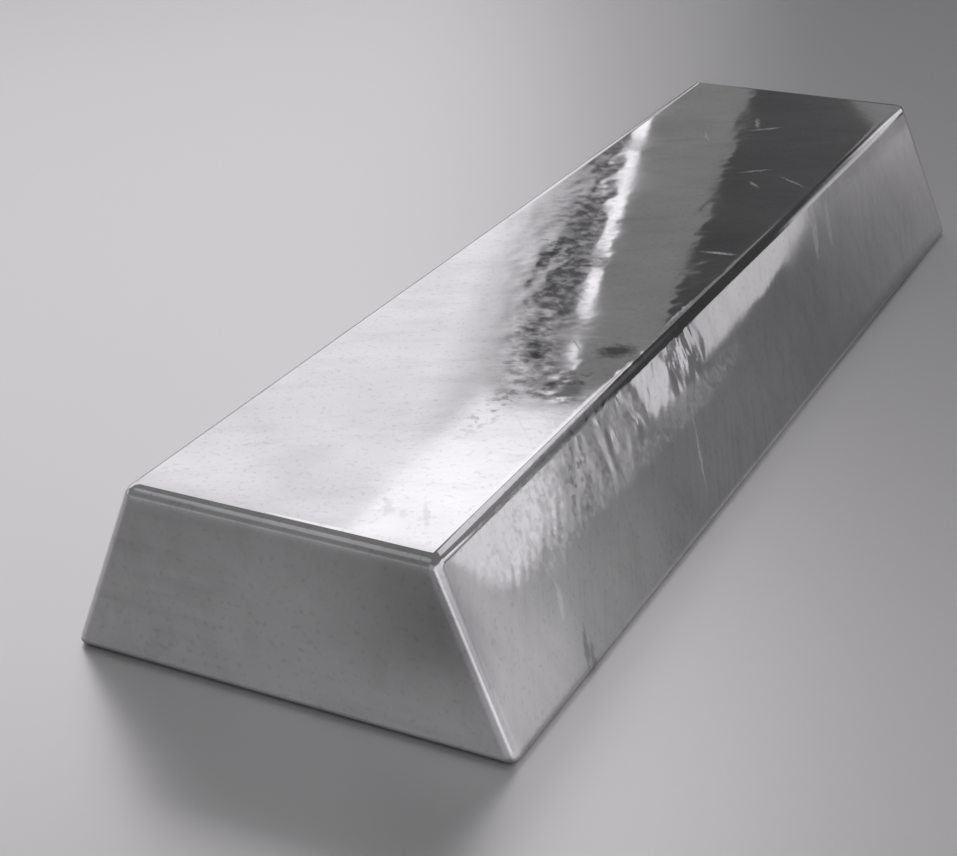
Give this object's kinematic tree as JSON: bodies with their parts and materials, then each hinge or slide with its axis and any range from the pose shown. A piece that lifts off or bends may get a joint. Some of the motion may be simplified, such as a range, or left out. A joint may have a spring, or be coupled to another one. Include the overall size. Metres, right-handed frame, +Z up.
{
  "type": "iron bar",
  "caption": "Solid cast iron bar with a wide flat base, leaning long sides, upright ends, a narrow flat crown and rounded edges; raw stock that lies or stacks on its flat faces.",
  "frame": {"origin": "centre of the base, on the floor", "axes": "+Y along the length of the bar, +X across it, +Z up from the base to the crown"},
  "size_m": [0.0802, 0.25, 0.0322],
  "materials": {
    "iron": "bright bare metal, close to a mirror, with shallow ripples, a crumpled patch on one crown edge and fine scratches"
  },
  "bodies": {
    "root": {"bar": "iron"}
  },
  "joints": []
}
